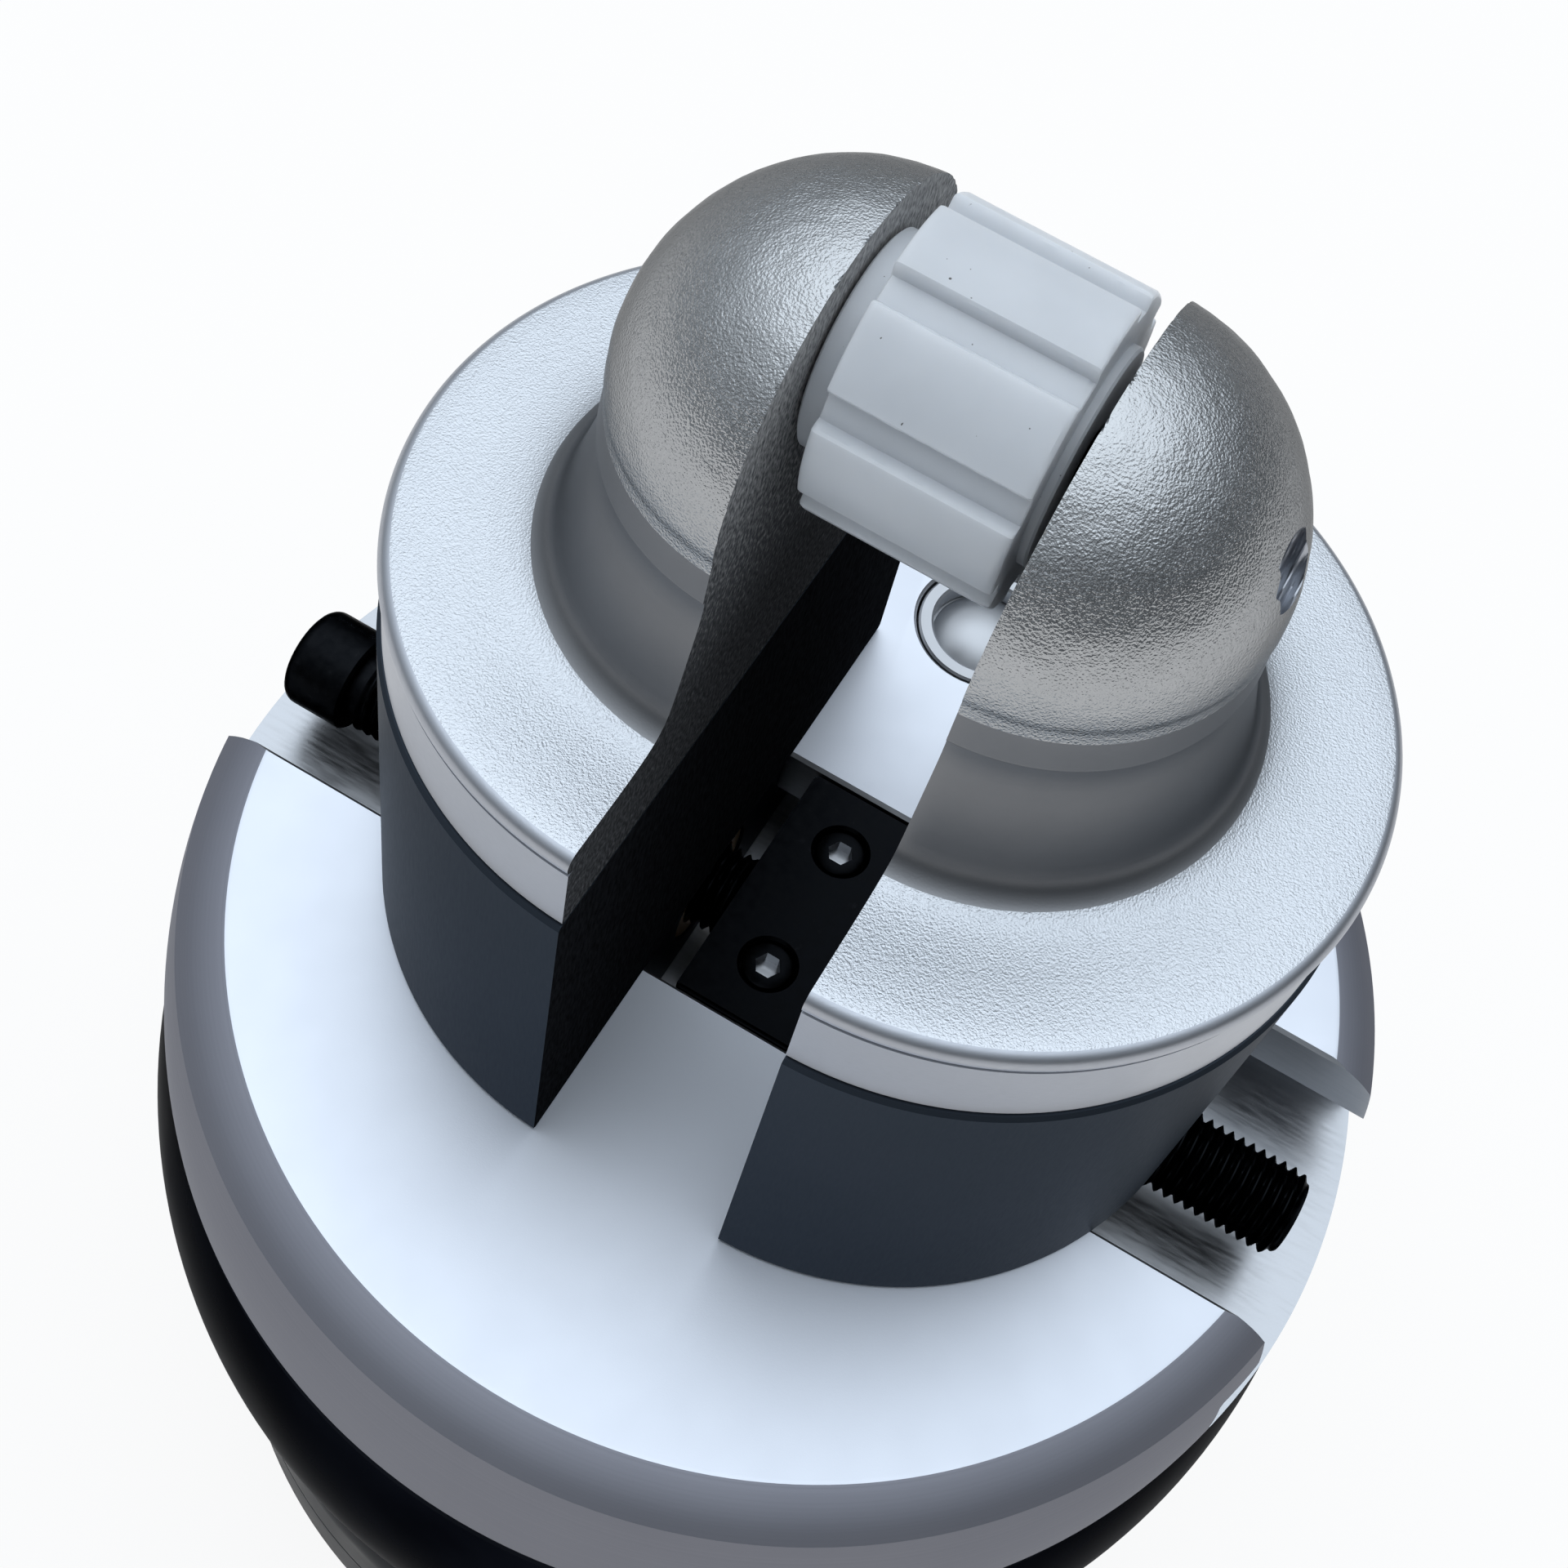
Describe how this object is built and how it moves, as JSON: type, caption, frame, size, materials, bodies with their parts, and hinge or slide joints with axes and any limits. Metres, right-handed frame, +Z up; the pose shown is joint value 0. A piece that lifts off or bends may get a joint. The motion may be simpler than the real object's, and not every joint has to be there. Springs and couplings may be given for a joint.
{
  "type": "ball vise",
  "caption": "Ball vise: a heavy ball in a ring pad carries a turntable with two screw-driven half-round jaws and a split-ball head holding a ribbed nylon spool",
  "frame": {"origin": "centre of the ring pad's underside, on the table", "axes": "+Z up, X along the jaws' travel with the drilled head half at +X, +Y towards the lock button"},
  "size_m": [0.1388, 0.1388, 0.2113],
  "materials": {
    "ring_pad": "matt black rubber",
    "ball_steel": "black oxide, satin turned",
    "table_metal": "satin turned, clear",
    "jaw_steel": "dark blue-grey, satin ground",
    "cast_aluminium": "bead blasted, pebbly",
    "nylon": "natural milky white nylon",
    "black_oxide": "black oxide",
    "bronze": "plain bearing bronze",
    "bright_steel": "bright ground steel",
    "spring_steel": "bright drawn spring wire"
  },
  "bodies": {
    "pad": {"ring_pad": "ring_pad"},
    "ball": {"lower_ball": "ball_steel", "post_bush": "bronze", "race_lower": "bright_steel"},
    "cage": {"bearing_cage": "bronze", "bearing_ball_01": "bright_steel", "bearing_ball_02": "bright_steel", "bearing_ball_03": "bright_steel", "bearing_ball_04": "bright_steel", "bearing_ball_05": "bright_steel", "bearing_ball_06": "bright_steel", "bearing_ball_07": "bright_steel", "bearing_ball_08": "bright_steel", "bearing_ball_09": "bright_steel", "bearing_ball_10": "bright_steel", "bearing_ball_11": "bright_steel", "bearing_ball_12": "bright_steel"},
    "turntable": {"turntable": "table_metal", "race_upper": "bright_steel", "retaining_washer": "bright_steel", "pivot_bolt": "black_oxide", "yoke_base": "table_metal", "yoke_cap": "table_metal", "yoke_screw_near": "bright_steel", "yoke_screw_far": "bright_steel", "yoke_dowel": "bright_steel", "lock_ring": "table_metal", "lock_spring": "spring_steel"},
    "lead_screw": {"lead_screw": "black_oxide"},
    "jaw_left": {"jaw_left": "jaw_steel", "jaw_nut_left": "bronze", "head_left": "cast_aluminium", "head_pin_left_near": "bright_steel", "head_pin_left_far": "bright_steel", "spool_stud": "black_oxide"},
    "jaw_right": {"jaw_right": "jaw_steel", "jaw_nut_right": "bronze", "head_right": "cast_aluminium", "head_pin_right_near": "bright_steel", "head_pin_right_far": "bright_steel"},
    "spool": {"nylon_spool": "nylon"},
    "lock_button": {"lock_button": "table_metal"}
  },
  "joints": [
    {"name": "ball_tilt", "type": "hinge", "parent": "pad", "child": "ball", "pos_m": [0, 0, 0.0725], "axis": [0, 1, 0], "range_deg": [-40, 40]},
    {"name": "turntable_spin", "type": "hinge", "parent": "ball", "child": "turntable", "pos_m": [0, 0, 0.0928], "axis": [0, 0, 1], "continuous": true},
    {"name": "cage_spin", "type": "hinge", "parent": "ball", "child": "cage", "pos_m": [0, 0, 0.0879], "axis": [0, 0, 1], "continuous": true},
    {"name": "screw_turn", "type": "hinge", "parent": "turntable", "child": "lead_screw", "pos_m": [0, 0, 0.108], "axis": [1, 0, 0], "range_deg": [-116, 3169]},
    {"name": "jaw_left_slide", "type": "slide", "parent": "turntable", "child": "jaw_left", "axis": [-1, 0, 0], "range_m": [-0.0004, 0.011]},
    {"name": "jaw_right_slide", "type": "slide", "parent": "turntable", "child": "jaw_right", "axis": [1, 0, 0], "range_m": [-0.0004, 0.011]},
    {"name": "spool_spin", "type": "hinge", "parent": "jaw_left", "child": "spool", "pos_m": [0, 0, 0.1981], "axis": [1, 0, 0], "continuous": true},
    {"name": "lock_press", "type": "slide", "parent": "turntable", "child": "lock_button", "axis": [0, 0, -1], "range_m": [0, 0.0035], "stiffness_N_per_m": 400, "springref_m": -0.005, "deforming": ["lock_spring"]}
  ],
  "couplings": [
    {"joint": "cage_spin", "follows": "turntable_spin", "ratio": 0.5},
    {"joint": "screw_turn", "follows": "jaw_left_slide", "rad_per_m": 5026.5},
    {"joint": "jaw_right_slide", "follows": "jaw_left_slide", "ratio": 1}
  ]
}
